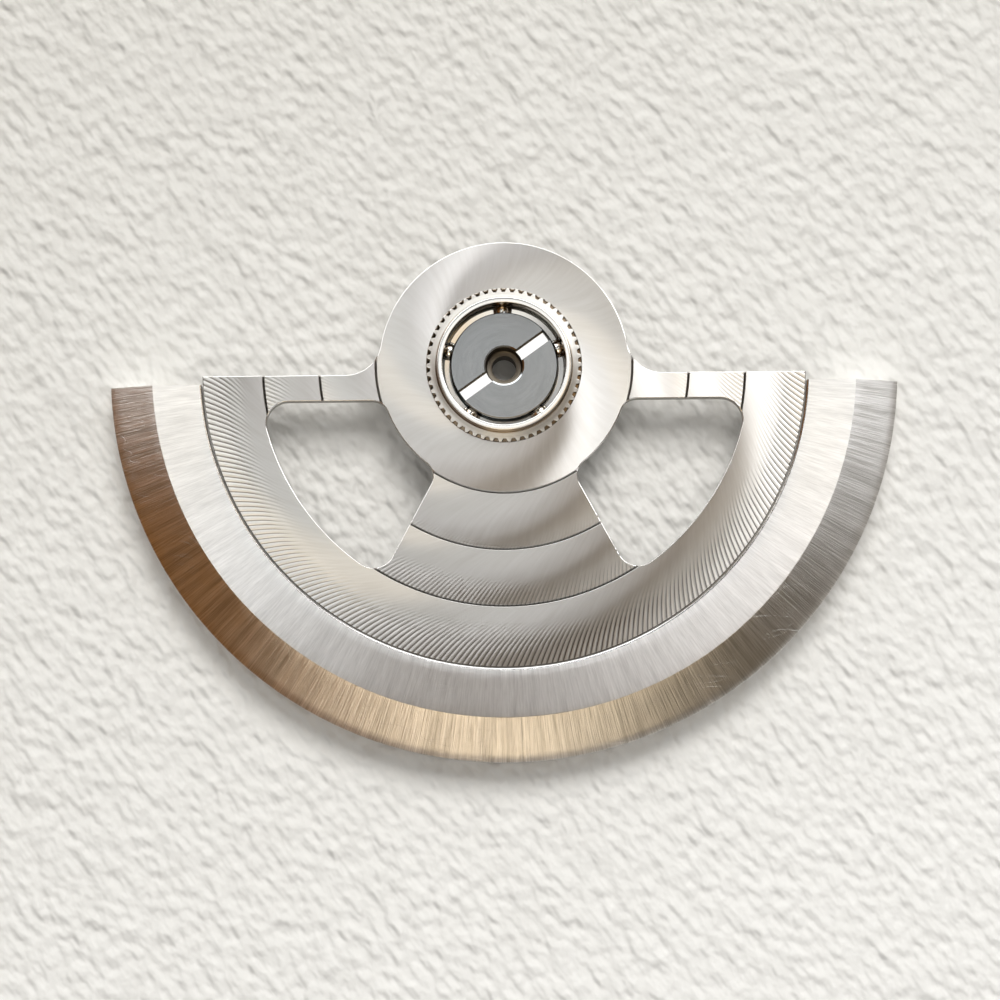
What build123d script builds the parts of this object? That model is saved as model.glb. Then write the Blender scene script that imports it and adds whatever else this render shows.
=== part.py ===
"""Automatic winding rotor of an 11 1/2 ligne wrist watch movement.

Frame: millimetres, +Z up towards the decorated face. The origin is on the spin axis, in the plane where
the bearing core seats on the automatic bridge. At rest the heavy rim lies towards -Y.
"""
from build123d import *
from math import cos, pi, radians, sin, sqrt, tan
import os

# Bearing: balls and V grooves
ball_count = 5
ball_radius = 0.30
ball_pitch_radius = 1.87
ball_height = 0.52
first_ball_angle = 19.0
race_gap = 0.012
groove_relief = 0.008

# Bearing core: slotted screw and lower cone
head_overlap = 0.14
head_height = 1.04
head_chamfer = 0.03
slot_width = 0.40
slot_depth = 0.28
slot_angle = 35.5
pilot_radius = 0.61
pilot_depth = 0.60
pilot_chamfer = 0.04
vent_radius = 0.40
cone_wall = 0.47
stud_step = 0.18
stud_length = 0.40
stud_chamfer = 0.08

# Bearing outer ring
tooth_count = 54
race_wall = 0.14
tooth_depth = 0.19
tip_share = 0.28
root_share = 0.34
tooth_end_chamfer = 0.05
ring_bottom = 0.10
bore_overlap = 0.13
lip_wall = 0.18
lip_rise = 0.40
lip_round = 0.06
ledge_rise = 0.08
ledge_fall = 0.07
ledge_width = 0.15

# Ball cage
cage_bottom = 0.06
cage_rise = 0.10
cage_core_gap = 0.03
cage_ring_gap = 0.05
pocket_gap = 0.02

# Carrier plate
plate_thickness = 0.45
plate_height = 1.07
hub_width = 1.53
hub_land = 0.14
outer_stripe_width = 1.96
stripe_fall = 0.045
hub_fall = 0.015
plate_edge = -0.27
arm_width = 0.85
arm_hub_round = 1.15
tooth_bite = 0.02

# Windows either side of the fan-shaped spoke
window_land = 0.09
fan_half_angle = 28.3
fan_apex = 0.59
window_hub_round = 0.55
window_arm_round = 0.70
window_foot_round = 0.70
window_fan_round = 0.55

# Heavy segment and the flange that carries it
outer_radius = 12.80
bevel_width = 1.42
flat_width = 1.58
bevel_fall = 0.60
rim_rise = 0.08
rim_height = 1.60
rim_set_back = 0.30
rim_chamfer = 0.06
flange_width = 0.95
flange_thickness = 0.20
joint_gap = 0.005

# Rivets that hold the segment, driven from below
rivet_count = 5
rivet_step = 36.0
rivet_shank_radius = 0.18
rivet_head_radius = 0.34
rivet_head_rise = 0.12
rivet_head_round = 0.05
rivet_grip = 0.18

# A cutting tool runs this far past the face that it leaves
overrun = 1.0

# A ball touches both 45 degree flanks of a groove; the groove's bottom is cut square behind the ball
flank_reach = (ball_radius + race_gap) * sqrt(2)
outer_groove_radius = ball_pitch_radius + ball_radius + race_gap + groove_relief
inner_groove_radius = ball_pitch_radius - ball_radius - race_gap - groove_relief

# Radii that follow from the balls outwards, and inwards to the stud
head_radius = ball_pitch_radius - head_overlap
stem_radius = inner_groove_radius - cone_wall
stud_radius = stem_radius - stud_step
ring_bore_radius = ball_pitch_radius + bore_overlap
tooth_root_radius = outer_groove_radius + race_wall
tooth_tip_radius = tooth_root_radius + tooth_depth
plate_bore_radius = tooth_tip_radius - tooth_bite
hub_radius = tooth_tip_radius + hub_width
hub_stripe_radius = hub_radius + hub_land

# Radii that follow from the rim inwards; the two inner stripes are equally wide
bevel_radius = outer_radius - bevel_width
joint_radius = bevel_radius - flat_width
flange_radius = joint_radius + flange_width
rivet_circle_radius = joint_radius + flange_width / 2
middle_stripe_radius = joint_radius - outer_stripe_width
inner_stripe_radius = (hub_stripe_radius + middle_stripe_radius) / 2
window_outer_radius = middle_stripe_radius + window_land

# Levels that follow from the plate's upper face
plate_bottom = plate_height - plate_thickness
flange_height = plate_bottom + flange_thickness
lip_height = plate_height + lip_rise
ledge_height = plate_height + ledge_rise
rim_top = plate_height + rim_rise
rim_bottom = rim_top - rim_height
rim_edge = plate_edge - rim_set_back


def flank_height(radius):
    """Half the groove's opening at a radius: the flanks close on the ball centre's circle at 45 degrees."""
    return flank_reach - abs(radius - ball_pitch_radius)


def turned(points, rounds=None):
    """A solid turned about Z from a closed outline of (radius, height) points, some corners rounded."""
    face = make_face(Polyline(*points, close=True))
    for index, radius in (rounds or {}).items():
        corner = face.vertices().sort_by_distance(points[index])[0]
        face = fillet(corner, radius)
    return revolve(Plane.XZ * face, Axis.Z)


def slab(plan, low, high):
    """A plan sketch carried straight up from one height to another."""
    return extrude(Plane.XY.offset(low) * plan, high - low)


def below(edge, reach):
    """The half of a square plan that lies on the -Y side of a straight edge."""
    return Pos(0, edge - reach) * Rectangle(2 * reach, 2 * reach)


def around(radius, angle):
    """The place on a circle about the axis, turned so that its own X points outwards."""
    return Rot(0, 0, angle) * Pos(radius, 0, 0)


def centre_screw():
    """Slotted head with the upper cone under it, plain stem, and the stud that enters the bridge."""
    stud_end = -stud_length
    pilot_floor = head_height - pilot_depth
    outline = [
        (pilot_radius + pilot_chamfer, head_height),
        (head_radius - head_chamfer, head_height),
        (head_radius, head_height - head_chamfer),
        (head_radius, ball_height + flank_height(head_radius)),
        (inner_groove_radius, ball_height + flank_height(inner_groove_radius)),
        (inner_groove_radius, ball_height),
        (stem_radius, ball_height),
        (stem_radius, 0),
        (stud_radius, 0),
        (stud_radius, stud_end + stud_chamfer),
        (stud_radius - stud_chamfer, stud_end),
        (vent_radius, stud_end),
        (vent_radius, pilot_floor),
        (pilot_radius, pilot_floor),
        (pilot_radius, head_height - pilot_chamfer),
    ]
    slot_reach = head_radius + overrun
    slot = slab(Rectangle(2 * slot_reach, slot_width), head_height - slot_depth, head_height + overrun)
    return turned(outline) - Rot(0, 0, slot_angle) * slot


def lower_cone():
    """Loose half of the inner race, pressed on the stem up to the screw's shoulder."""
    outline = [
        (stem_radius + joint_gap, ball_height),
        (inner_groove_radius, ball_height),
        (inner_groove_radius, ball_height - flank_height(inner_groove_radius)),
        (head_radius, ball_height - flank_height(head_radius)),
        (head_radius, head_chamfer),
        (head_radius - head_chamfer, 0),
        (stem_radius + joint_gap, 0),
    ]
    return turned(outline)


def bearing_ball(index):
    """One ball, resting in the two V grooves."""
    angle = first_ball_angle + index * 360 / ball_count
    return around(ball_pitch_radius, angle) * Pos(0, 0, ball_height) * Sphere(ball_radius)


def ball_cage():
    """Crown cage: a ring under the balls, with posts between them that spread them evenly."""
    inner = head_radius + cage_core_gap
    outer = ring_bore_radius - cage_ring_gap
    top = ball_height + cage_rise
    cage = turned([(inner, cage_bottom), (outer, cage_bottom), (outer, top), (inner, top)])
    pocket = Pos(0, 0, ball_height) * Rot(0, 90, 0) * Cylinder(ball_radius + pocket_gap, 2 * overrun)
    for index in range(ball_count):
        cage -= around(ball_pitch_radius, first_ball_angle + index * 360 / ball_count) * pocket
    return cage


def toothed_plan():
    """Outline of the teeth: straight flanks between a root circle and a tip circle."""
    pitch = 2 * pi / tooth_count
    corners = []
    for index in range(tooth_count):
        middle = index * pitch
        root_half = pitch * (1 - root_share) / 2
        tip_half = pitch * tip_share / 2
        for radius, angle in (
            (tooth_root_radius, middle - root_half),
            (tooth_tip_radius, middle - tip_half),
            (tooth_tip_radius, middle + tip_half),
            (tooth_root_radius, middle + root_half),
        ):
            corners.append((radius * cos(angle), radius * sin(angle)))
    return make_face(Polyline(*corners, close=True))


def bearing_outer_ring():
    """Outer race with its raised lip. The teeth grip the plate above and drive the reversers below."""
    ledge_radius = ring_bore_radius + lip_wall + ledge_width
    lip_radius = ring_bore_radius + lip_wall
    opening = flank_height(ring_bore_radius)
    groove = flank_height(outer_groove_radius)
    section = [
        (ring_bore_radius, ring_bottom),
        (tooth_tip_radius - tooth_end_chamfer, ring_bottom),
        (tooth_tip_radius, ring_bottom + tooth_end_chamfer),
        (tooth_tip_radius, ledge_height - ledge_fall),
        (ledge_radius, ledge_height),
        (lip_radius, ledge_height),
        (lip_radius, lip_height),
        (ring_bore_radius, lip_height),
        (ring_bore_radius, ball_height + opening),
        (outer_groove_radius, ball_height + groove),
        (outer_groove_radius, ball_height - groove),
        (ring_bore_radius, ball_height - opening),
    ]
    lip_corners = {6: lip_round, 7: lip_round}
    return turned(section, lip_corners) & slab(toothed_plan(), ring_bottom - overrun, lip_height + overrun)


def window_plan(side):
    """One window: between the hub and the outer stripe, under the arm and beside the fan-shaped spoke."""
    reach = 2 * outer_radius
    spread = tan(radians(fan_half_angle))
    arm_low = plate_edge - arm_width
    ring = Circle(window_outer_radius) - Circle(hub_radius)
    beside_fan = make_face(
        Polyline(
            (spread * (fan_apex - arm_low), arm_low),
            (reach, arm_low),
            (reach, -reach),
            (spread * (fan_apex + reach), -reach),
            close=True,
        )
    )
    plan = ring & beside_fan
    hub_x = sqrt(hub_radius**2 - arm_low**2)
    outer_x = sqrt(window_outer_radius**2 - arm_low**2)
    rounds = (
        ((hub_x, arm_low), window_hub_round),
        ((outer_x, arm_low), window_arm_round),
        (fan_crossing(window_outer_radius), window_foot_round),
        (fan_crossing(hub_radius), window_fan_round),
    )
    for place, radius in rounds:
        corner = plan.vertices().sort_by_distance((*place, 0))[0]
        plan = fillet(corner, radius)
    return plan if side > 0 else mirror(plan, Plane.YZ)


def fan_crossing(radius):
    """Where a side of the fan-shaped spoke crosses a circle about the axis."""
    half = radians(fan_half_angle)
    along = fan_apex * cos(half) + sqrt(radius**2 - (fan_apex * sin(half)) ** 2)
    return along * sin(half), fan_apex - along * cos(half)


def plate_plan():
    """Hub, two arms, fan-shaped spoke and stripe band, with the flange that goes under the segment."""
    reach = 2 * outer_radius
    plan = Circle(joint_radius) & below(plate_edge, reach)
    plan += Circle(hub_radius)
    for side in (1, -1):
        corner_x = side * sqrt(hub_radius**2 - plate_edge**2)
        corner = plan.vertices().sort_by_distance((corner_x, plate_edge, 0))[0]
        plan = fillet(corner, arm_hub_round)
    plan += Circle(flange_radius) & below(rim_edge, reach)
    for side in (1, -1):
        plan -= window_plan(side)
    return plan


def weight_plate():
    """Carrier plate. Each stripe is highest at its inner edge and falls outwards to a small step."""
    top = plate_height
    section = [
        (plate_bore_radius, plate_bottom),
        (plate_bore_radius, top),
        (hub_stripe_radius, top - hub_fall),
        (hub_stripe_radius, top),
        (inner_stripe_radius, top - stripe_fall),
        (inner_stripe_radius, top),
        (middle_stripe_radius, top - stripe_fall),
        (middle_stripe_radius, top),
        (joint_radius, top - stripe_fall),
        (joint_radius, flange_height),
        (flange_radius, flange_height),
        (flange_radius, plate_bottom),
    ]
    plate = turned(section) & slab(plate_plan(), plate_bottom - overrun, top + overrun)
    plate -= slab(toothed_plan(), plate_bottom - overrun, top + overrun)
    hole = Cylinder(rivet_shank_radius + joint_gap, 2 * plate_height)
    for index in range(rivet_count):
        plate -= around(rivet_circle_radius, rivet_angle(index)) * hole
    return plate


def rivet_angle(index):
    """Rivets are spread evenly about the middle of the segment."""
    return -90 + (index - (rivet_count - 1) / 2) * rivet_step


def segment_rivet(index):
    """Flat-headed rivet: head under the flange, shank up into the segment."""
    outline = [
        (0, plate_bottom - rivet_head_rise),
        (rivet_head_radius, plate_bottom - rivet_head_rise),
        (rivet_head_radius, plate_bottom),
        (rivet_shank_radius, plate_bottom),
        (rivet_shank_radius, flange_height + rivet_grip),
        (0, flange_height + rivet_grip),
    ]
    rivet = turned(outline, {1: rivet_head_round})
    return around(rivet_circle_radius, rivet_angle(index)) * rivet


def heavy_segment():
    """Half ring of heavy alloy: brushed flat, wide bevel, deep rim, and a lip over the plate's flange."""
    inner = joint_radius + joint_gap
    rebate = flange_radius + joint_gap
    section = [
        (inner, flange_height),
        (inner, rim_top),
        (bevel_radius, rim_top),
        (outer_radius, rim_top - bevel_fall),
        (outer_radius, rim_bottom + rim_chamfer),
        (outer_radius - rim_chamfer, rim_bottom),
        (rebate + rim_chamfer, rim_bottom),
        (rebate, rim_bottom + rim_chamfer),
        (rebate, flange_height),
    ]
    half = slab(below(rim_edge, 2 * outer_radius), rim_bottom - overrun, rim_top + overrun)
    segment = turned(section) & half
    hole = slab(Circle(rivet_shank_radius + joint_gap), plate_bottom, flange_height + rivet_grip + joint_gap)
    for index in range(rivet_count):
        segment -= around(rivet_circle_radius, rivet_angle(index)) * hole
    return segment


def pieces():
    """Every separate piece, by the name of its node."""
    named = {
        "centre_screw": centre_screw(),
        "lower_cone": lower_cone(),
        "ball_cage": ball_cage(),
        "bearing_outer_ring": bearing_outer_ring(),
        "weight_plate": weight_plate(),
        "heavy_segment": heavy_segment(),
    }
    for index in range(ball_count):
        named[f"bearing_ball_{index + 1}"] = bearing_ball(index)
    for index in range(rivet_count):
        named[f"segment_rivet_{index + 1}"] = segment_rivet(index)
    return named


os.makedirs("parts", exist_ok=True)
for name, piece in pieces().items():
    export_step(piece, f"parts/{name}.step")

# How fast the cage and a ball turn for one turn of the rotor, with the core held still
contact_offset = ball_radius * cos(pi / 4)
cage_ratio = (1 + contact_offset / ball_pitch_radius) / 2
ball_ratio = (ball_pitch_radius**2 - contact_offset**2) / (2 * contact_offset * ball_pitch_radius)
print(f"cage turns {cage_ratio:.4f} times and each ball {ball_ratio:.4f} times in its pocket per rotor turn")
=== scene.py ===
# %% [markdown]
# # Dressing a watch rotor
#
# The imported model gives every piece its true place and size, but it is plain. This file gives each piece the
# finish that it has on the bench: milled stripes on the carrier plate, straight brushing on the heavy rim,
# polished steel in the ball bearing. Lengths below are in millimetres and are turned into metres, Blender's
# unit, at the moment when a mesh is made.

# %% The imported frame
import bpy
import numpy as np
from mathutils import Matrix, Vector
from mathutils.geometry import tessellate_polygon


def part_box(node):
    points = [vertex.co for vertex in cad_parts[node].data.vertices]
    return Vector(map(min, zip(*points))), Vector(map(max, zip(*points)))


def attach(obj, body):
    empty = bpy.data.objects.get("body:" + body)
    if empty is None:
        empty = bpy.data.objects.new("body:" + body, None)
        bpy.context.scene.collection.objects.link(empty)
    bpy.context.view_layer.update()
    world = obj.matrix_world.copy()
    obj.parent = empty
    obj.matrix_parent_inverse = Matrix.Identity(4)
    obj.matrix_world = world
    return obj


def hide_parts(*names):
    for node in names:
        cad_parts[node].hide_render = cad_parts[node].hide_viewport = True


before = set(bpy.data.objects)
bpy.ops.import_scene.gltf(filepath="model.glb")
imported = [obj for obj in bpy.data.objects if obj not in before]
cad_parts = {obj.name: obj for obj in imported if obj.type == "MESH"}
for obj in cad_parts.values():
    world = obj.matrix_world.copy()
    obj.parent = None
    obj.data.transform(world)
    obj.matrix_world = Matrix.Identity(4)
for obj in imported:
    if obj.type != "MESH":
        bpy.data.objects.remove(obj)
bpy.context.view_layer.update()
MM = 0.001
print("nodes in the frame:", len(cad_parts))

# %% [markdown]
# ## From a grid of points to a mesh
#
# Every piece here is a set of patches. A patch is a grid of points: each row is one point of a profile, each
# column one step round the axis or along a path. Two neighbouring rows and columns make a small face. Where a
# grid is squeezed to nothing, for example where a round corner eats into it, the empty faces are dropped and
# the points that fell together are merged, so the surface stays whole.
#
# Each point also carries two numbers in millimetres, along and across the strokes of the tool that finished
# it. They become a UV map called grain, which the brushed metals follow. A third number, edge, is 1 on the
# small bevels that break a sharp edge, and goes down to -1 in grooves and hollows, where it paints shade into
# the metal's colour.

# %% Mesh from patches
def patch(points, along, across, edge=0.0, finish=0):
    """A grid of points of shape (rows, columns, 3), its stroke coordinates, edge value and finish."""
    shape = points.shape[:2]
    return {
        "points": points,
        "grain": np.stack([np.broadcast_to(along, shape), np.broadcast_to(across, shape)], axis=-1),
        "edge": np.broadcast_to(edge, shape),
        "corners": triangles_of(*shape),
        "finish": finish,
    }


def flat_cap(outline, facing, along, across, finish=0):
    """A flat face inside a closed outline, cut into triangles that all look the given way."""
    made = patch(outline[None], along, across, finish=finish)
    aside = np.cross(facing, (0.0, 0.0, 1.0)) if abs(facing[2]) < 0.5 else np.array([1.0, 0.0, 0.0])
    plan = np.stack([outline @ aside, outline @ np.cross(facing, aside)], axis=-1)
    corners = np.array(tessellate_polygon([[Vector((*point, 0.0)) for point in plan]]))
    a, b, c = outline[corners].transpose(1, 0, 2)
    wrong = np.cross(b - a, c - a) @ np.array(facing, float) < 0
    corners[wrong] = corners[wrong][:, ::-1]
    made["corners"] = corners
    return made


def strip(made, start, stop, finish):
    """Some rows of a patch as a patch of their own, with another finish."""
    rows = slice(start, stop)
    along, across = made["grain"][rows, :, 0], made["grain"][rows, :, 1]
    return patch(made["points"][rows], along, across, made["edge"][rows], finish)


def triangles_of(rows, columns):
    """Corner numbers of two triangles for each cell of a grid, which face row step x column step."""
    first = np.arange(rows * columns).reshape(rows, columns)
    a, b, c, d = first[:-1, :-1], first[1:, :-1], first[1:, 1:], first[:-1, 1:]
    return np.concatenate([np.stack([a, b, c], -1).reshape(-1, 3), np.stack([a, c, d], -1).reshape(-1, 3)])


def skin(name, patches, crease=28.0):
    """A mesh object from patches. Points that agree to a ten-thousandth of a millimetre are merged.

    Edges that turn by more than the crease, in degrees, stay sharp.
    """
    points = np.concatenate([p["points"].reshape(-1, 3) for p in patches])
    grain = np.concatenate([p["grain"].reshape(-1, 2) for p in patches])
    edge = np.concatenate([p["edge"].ravel() for p in patches])
    starts = np.cumsum([0] + [p["edge"].size for p in patches[:-1]])
    corners = np.concatenate([p["corners"] + start for p, start in zip(patches, starts)])
    finish = np.concatenate([np.full(len(p["corners"]), p["finish"]) for p in patches])
    _, kept, number = np.unique(np.round(points, 4), axis=0, return_index=True, return_inverse=True)
    number = number.ravel()
    merged = number[corners]
    whole = (merged[:, 0] != merged[:, 1]) & (merged[:, 1] != merged[:, 2]) & (merged[:, 2] != merged[:, 0])
    corners, merged, finish = corners[whole], merged[whole], finish[whole]
    mesh = bpy.data.meshes.new(name)
    mesh.vertices.add(len(kept))
    mesh.vertices.foreach_set("co", (points[kept] * MM).astype(np.float32).ravel())
    mesh.loops.add(merged.size)
    mesh.loops.foreach_set("vertex_index", merged.astype(np.int32).ravel())
    mesh.polygons.add(len(merged))
    mesh.polygons.foreach_set("loop_start", np.arange(0, merged.size, 3, dtype=np.int32))
    mesh.polygons.foreach_set("material_index", finish.astype(np.int32))
    mesh.uv_layers.new(name="grain").uv.foreach_set("vector", grain[corners].astype(np.float32).ravel())
    mesh.attributes.new("edge", "FLOAT", "POINT").data.foreach_set("value", edge[kept].astype(np.float32))
    mesh.update(calc_edges=True)
    mesh.validate()
    mesh.shade_smooth()
    mesh.set_sharp_from_angle(angle=np.radians(crease))
    piece = bpy.data.objects.new(name, mesh)
    bpy.context.scene.collection.objects.link(piece)
    print(name, "has", len(mesh.polygons), "triangles")
    return piece


# %% [markdown]
# ## Turned shapes
#
# Most of a rotor comes off a lathe, so its surface is a profile carried round the axis. The profile runs so
# that the metal lies on its right: up the bore, outwards over the top, down the outside and back underneath.
# A small round or bevel at each corner catches the light, which is how the eye reads a machined edge.

# %% Profiles and turning
def polar(radius, angle, height):
    """Points from a radius, an angle in radians and a height."""
    radius, angle, height = np.broadcast_arrays(radius, angle, height)
    return np.stack([radius * np.cos(angle), radius * np.sin(angle), height], axis=-1)


def softened(corners, rounds, steps=3):
    """A closed profile whose corners are replaced by arcs.

    Each arc is the curve (1-t)^2 A + 2t(1-t) B + t^2 C, from A on one side of the corner B to C on the other,
    both one round away from it. Returns the points and, beside them, 1 on an arc and 0 at its two ends.
    """
    corners = np.array(corners, float)
    before, after = np.roll(corners, 1, axis=0), np.roll(corners, -1, axis=0)
    rounds = np.broadcast_to(np.asarray(rounds, float), len(corners))[:, None]
    one_way = corners + (before - corners) / np.linalg.norm(before - corners, axis=1)[:, None] * rounds
    other_way = corners + (after - corners) / np.linalg.norm(after - corners, axis=1)[:, None] * rounds
    t = np.linspace(0, 1, steps + 1)[None, :, None]
    arcs = (1 - t) ** 2 * one_way[:, None] + 2 * t * (1 - t) * corners[:, None] + t**2 * other_way[:, None]
    worn = np.sin(np.pi * t[..., 0]) * (rounds > 0)
    points = arcs.reshape(-1, 2)
    return np.vstack([points, points[:1]]), np.append(worn.ravel(), worn.ravel()[0])


def length_along(profile):
    """How far each point of a profile is from its start, measured along it."""
    return np.concatenate([[0], np.cumsum(np.hypot(*np.diff(profile, axis=0).T))])


def turned(profile, edge, columns):
    """A profile of (radius, height) points carried round the axis, with strokes running round it."""
    angle = np.linspace(-np.pi, np.pi, columns + 1)
    points = polar(profile[:, :1], angle, profile[:, 1:])
    return patch(points, angle * profile[:, 0].max(), length_along(profile)[:, None], edge[:, None])


# %% [markdown]
# ## Node helpers
#
# Materials are node trees. One small function adds a node, sets its options, and fills or links its sockets,
# which keeps each material short enough to read in one go. The others save a few lines each time.

# %% Adding nodes
def add(tree, kind, inputs=None, **options):
    """A new node. An input is a value, or the output socket of another node, which is then linked."""
    made = tree.nodes.new(kind)
    for option, value in options.items():
        setattr(made, option, value)
    for socket, value in (inputs or {}).items():
        if isinstance(value, bpy.types.NodeSocket):
            tree.links.new(value, made.inputs[socket])
        else:
            made.inputs[socket].default_value = value
    return made


def maths(tree, operation, *values):
    """A Math node's result."""
    return add(tree, "ShaderNodeMath", dict(enumerate(values)), operation=operation).outputs[0]


def mixed(tree, share, first, second):
    """Two colours mixed by a share. Each is red, green and blue, or the output socket of another node."""
    first, second = (c if isinstance(c, bpy.types.NodeSocket) else (*c, 1) for c in (first, second))
    return add(tree, "ShaderNodeMix", {0: share, 6: first, 7: second}, data_type="RGBA").outputs[2]


def placed(tree, effect, inputs):
    """A node group placed in a tree, with its inputs set or linked. Returns its outputs."""
    return add(tree, "ShaderNodeGroup", inputs, node_tree=effect).outputs


def blank_material(name):
    """A new material and its node tree, emptied."""
    material = bpy.data.materials.new(name)
    material.use_nodes = True
    material.node_tree.nodes.clear()
    return material, material.node_tree


def group(name, inputs, outputs):
    """A new shader node group. Inputs give a socket's kind and default, outputs its kind."""
    tree = bpy.data.node_groups.new(name, "ShaderNodeTree")
    for label, (kind, default) in inputs.items():
        socket = tree.interface.new_socket(label, in_out="INPUT", socket_type=kind)
        if default is not None:
            socket.default_value = default
    for label, kind in outputs.items():
        tree.interface.new_socket(label, in_out="OUTPUT", socket_type=kind)
    return tree, tree.nodes.new("NodeGroupInput").outputs, tree.nodes.new("NodeGroupOutput").inputs


# %% [markdown]
# ## Brushing, marks and worn edges
#
# Three effects come back on nearly every metal, so each is a node group, made once and placed with its own
# values.
#
# Brushing is noise that is squeezed across the strokes and stretched along them. It gives a height for the
# bump, and a slow tone, because a hand never presses evenly.
#
# Handling marks are soft smudges and a few hair-fine scratches in no special direction.
#
# Worn edges turn the edge value of the mesh into a mask with a slightly ragged border, and into a mask of
# the grooves, where shade is painted into the colour.

# %% Shared node groups
def make_brushing():
    """Height and tone of brush strokes: noise on the grain divided by the strokes' length and width."""
    tree, given, result = group(
        "brushing",
        {"Grain": ("NodeSocketVector", None), "Stroke Width": ("NodeSocketFloat", 0.05),
         "Stroke Length": ("NodeSocketFloat", 2.0)},
        {"Height": "NodeSocketFloat", "Tone": "NodeSocketFloat"},
    )
    size = add(tree, "ShaderNodeCombineXYZ", {"X": given["Stroke Length"], "Y": given["Stroke Width"],
                                              "Z": 1.0})
    scaled = add(tree, "ShaderNodeVectorMath", {0: given["Grain"], 1: size.outputs[0]}, operation="DIVIDE")
    fine = add(tree, "ShaderNodeTexNoise", {"Vector": scaled.outputs[0], "Scale": 1.0, "Detail": 3.0,
                                            "Roughness": 0.6}, noise_dimensions="2D")
    broad = add(tree, "ShaderNodeTexNoise", {"Vector": scaled.outputs[0], "Scale": 0.21, "Detail": 2.0,
                                             "Roughness": 0.5}, noise_dimensions="2D")
    tree.links.new(fine.outputs["Fac"], result["Height"])
    slow = maths(tree, "MULTIPLY", broad.outputs["Fac"], 0.4)
    both = maths(tree, "MULTIPLY_ADD", fine.outputs["Fac"], 0.6, slow)
    spread = add(tree, "ShaderNodeMapRange", {"Value": both, "From Min": 0.3, "From Max": 0.7})
    tree.links.new(spread.outputs[0], result["Tone"])
    return tree


def make_marks():
    """Smudges from soft noise, scratches where two stretched noises cross their middle value."""
    tree, given, result = group(
        "handling marks",
        {"Place": ("NodeSocketVector", None), "Smudge Size": ("NodeSocketFloat", 2.0),
         "Scratch Spacing": ("NodeSocketFloat", 0.8)},
        {"Smudge": "NodeSocketFloat", "Scratch": "NodeSocketFloat"},
    )
    wide = add(tree, "ShaderNodeTexNoise", {
        "Vector": given["Place"], "Scale": maths(tree, "DIVIDE", 1.0, given["Smudge Size"]), "Detail": 4.0,
        "Roughness": 0.55})
    smudge = add(tree, "ShaderNodeMapRange", {"Value": wide.outputs["Fac"], "From Min": 0.42,
                                              "From Max": 0.68})
    tree.links.new(smudge.outputs[0], result["Smudge"])
    lines = []
    # each family of scratches: its turn in radians, and how much it is stretched
    for turn, stretch in ((0.6, 0.10), (2.3, 0.16)):
        leaning = add(tree, "ShaderNodeMapping", {
            "Vector": given["Place"], "Rotation": (0.0, 0.0, turn), "Scale": (stretch, 1.0, 1.0)})
        noise = add(tree, "ShaderNodeTexNoise", {
            "Vector": leaning.outputs[0], "Scale": maths(tree, "DIVIDE", 1.0, given["Scratch Spacing"]),
            "Detail": 1.0})
        away = maths(tree, "ABSOLUTE", maths(tree, "SUBTRACT", noise.outputs["Fac"], 0.5))
        hair = add(tree, "ShaderNodeMapRange", {
            "Value": away, "From Min": 0.0, "From Max": 0.006, "To Min": 1.0, "To Max": 0.0})
        lines.append(hair.outputs[0])
    scratch = maths(tree, "MULTIPLY", maths(tree, "MAXIMUM", *lines), smudge.outputs[0])
    tree.links.new(scratch, result["Scratch"])
    return tree


def make_worn_edge():
    """A mask of the worn edges, broken up by noise, and one of the grooves and hollows, where shade is
    painted.
    """
    tree, given, result = group(
        "worn edge",
        {"Place": ("NodeSocketVector", None), "Ragged Size": ("NodeSocketFloat", 0.12)},
        {"Mask": "NodeSocketFloat", "Painted Shade": "NodeSocketFloat"},
    )
    edge = add(tree, "ShaderNodeAttribute", attribute_name="edge")
    # an edge value below -0.48 marks a groove or hollow whose shade is painted into the colour
    groove = add(tree, "ShaderNodeMapRange", {"Value": edge.outputs["Fac"], "From Min": -0.48,
                                              "From Max": -1.0})
    tree.links.new(groove.outputs[0], result["Painted Shade"])
    noise = add(tree, "ShaderNodeTexNoise", {
        "Vector": given["Place"], "Scale": maths(tree, "DIVIDE", 1.0, given["Ragged Size"]), "Detail": 2.0})
    summed = maths(tree, "ADD", edge.outputs["Fac"], maths(tree, "MULTIPLY", noise.outputs["Fac"], 0.5))
    mask = add(tree, "ShaderNodeMapRange", {"Value": summed, "From Min": 0.45, "From Max": 0.95})
    tree.links.new(mask.outputs[0], result["Mask"])
    return tree


brushing, marks, worn_edge = make_brushing(), make_marks(), make_worn_edge()
print("shared effects:", brushing.name, marks.name, worn_edge.name)


# %% [markdown]
# ## One recipe for every finished metal
#
# The metals differ in colour, in how rough they are and in the size of their strokes, not in how they are
# put together. The recipe mixes two tones of the metal by the brushing, darkens it in grooves and hollows with
# painted shade, dulls it where it is smudged, and polishes the worn edges, where no stroke is left. Brushed
# metal also spreads its highlight across the strokes: that is the shader's anisotropy, and it needs to know
# which way is across, which the grain map tells it. On the plate and the segment this spread does more than
# any colour: it turns a few bright cards round the rotor into the fields of light and shade that run over the
# brushed faces.

# %% Metal recipe
smudge_size = 2.5
smudge_roughness = 0.03
worn_roughness = 0.14


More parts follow.
